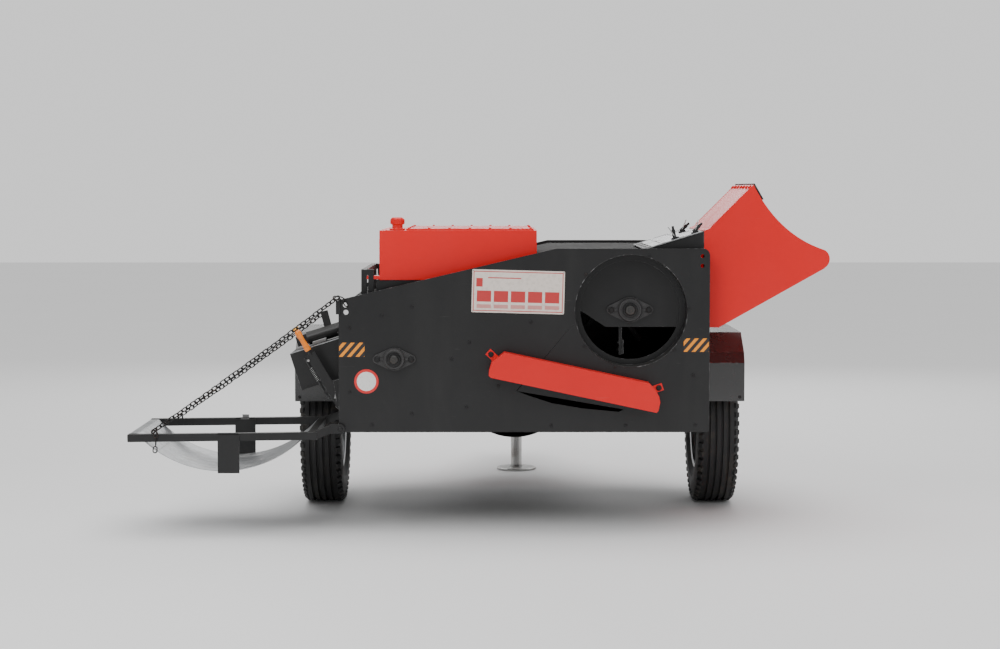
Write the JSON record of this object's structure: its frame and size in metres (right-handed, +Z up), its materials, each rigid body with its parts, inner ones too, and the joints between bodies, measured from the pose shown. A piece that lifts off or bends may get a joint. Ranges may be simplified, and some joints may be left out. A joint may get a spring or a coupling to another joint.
{
  "type": "trailed pumpkin seed harvester",
  "caption": "Two-wheel trailed seed harvester: sheet-steel threshing body, side feed hopper, roof seed tank, folding cradle on chains, drawbar with jack.",
  "frame": {"origin": "middle of the bounding box's base, on the ground", "axes": "+X to the machine's right seen from behind, towards the hopper; +Y forward along the drawbar; +Z up"},
  "size_m": [2.8132, 2.7, 1.4186],
  "materials": {
    "black_paint": "satin",
    "red_paint": "satin",
    "galvanised": "satin",
    "bright_steel": "satin",
    "cast_iron": "matte",
    "tyre_rubber": "matte",
    "black_rubber": "matte",
    "orange_grip": "satin"
  },
  "bodies": {
    "root": {"rear_plate": "black_paint", "front_plate": "black_paint", "body_shell": "black_paint", "opening_ring": "black_paint", "carrier_plate": "black_paint", "feed_neck": "black_paint", "tank_rest": "black_paint", "tank_guard": "black_paint", "discharge_chute": "black_paint", "side_tube": "black_paint", "lever_bracket": "black_paint", "cradle_beam": "black_paint", "axle_beam": "black_paint", "mudguard_left": "black_paint", "mudguard_right": "black_paint", "drawbar_left": "black_paint", "drawbar_right": "black_paint", "drawbar_tongue": "black_paint", "front_crossmember": "black_paint", "jack_tube": "black_paint", "gearbox_stand": "black_paint", "discharge_hood": "red_paint", "feed_hopper": "red_paint", "seed_tank": "red_paint", "tank_cap": "red_paint", "drive_guard": "red_paint", "tube_saddle": "galvanised", "chain_near": "bright_steel", "chain_far": "bright_steel", "rotor_bearing": "cast_iron", "sieve_bearing": "cast_iron", "gearbox": "cast_iron", "hopper_flap": "black_rubber"},
    "wheel_left": {"tyre_left": "tyre_rubber", "rim_left": "bright_steel"},
    "wheel_right": {"tyre_right": "tyre_rubber", "rim_right": "bright_steel"},
    "rotor": {"rotor": "black_paint"},
    "sieve": {"sieve_shaft": "bright_steel"},
    "pto": {"pto_shaft": "bright_steel"},
    "cradle": {"cradle_bar_near": "black_paint", "cradle_bar_far": "black_paint", "cradle_cross_outer": "black_paint", "cradle_cross_inner": "black_paint", "cradle_sheet": "galvanised"},
    "lid": {"lid": "galvanised"},
    "lever": {"hand_lever": "black_paint", "lever_grip": "orange_grip"},
    "jack": {"jack_leg": "bright_steel"}
  },
  "joints": [
    {"name": "wheel_left_spin", "type": "hinge", "parent": "root", "child": "wheel_left", "pos_m": [-0.69841, -0.33, 0.35], "axis": [1, 0, 0], "continuous": true},
    {"name": "wheel_right_spin", "type": "hinge", "parent": "root", "child": "wheel_right", "pos_m": [1.01959, -0.33, 0.35], "axis": [1, 0, 0], "continuous": true},
    {"name": "rotor_spin", "type": "hinge", "parent": "root", "child": "rotor", "pos_m": [0.60059, -0.592, 0.898], "axis": [0, 1, 0], "continuous": true},
    {"name": "sieve_spin", "type": "hinge", "parent": "root", "child": "sieve", "pos_m": [-0.34941, -0.592, 0.705], "axis": [0, 1, 0], "continuous": true},
    {"name": "pto_spin", "type": "hinge", "parent": "root", "child": "pto", "pos_m": [0.16059, 0.5, 0.65], "axis": [0, 1, 0], "continuous": true},
    {"name": "cradle_hinge", "type": "hinge", "parent": "root", "child": "cradle", "pos_m": [-0.56541, -1.03, 0.426], "axis": [0, 1, 0], "range_deg": [0, 55], "deforming": ["chain_near", "chain_far"]},
    {"name": "lid_hinge", "type": "hinge", "parent": "root", "child": "lid", "pos_m": [0.65859, -0.85, 1.14088], "axis": [0, -1, 0], "range_deg": [0, 110]},
    {"name": "lever_hinge", "type": "hinge", "parent": "root", "child": "lever", "pos_m": [-0.57341, -1.19, 0.522], "axis": [0, 1, 0], "range_deg": [-12, 15]},
    {"name": "jack_slide", "type": "slide", "parent": "root", "child": "jack", "axis": [0, 0, 1], "range_m": [0, 0.18]}
  ]
}
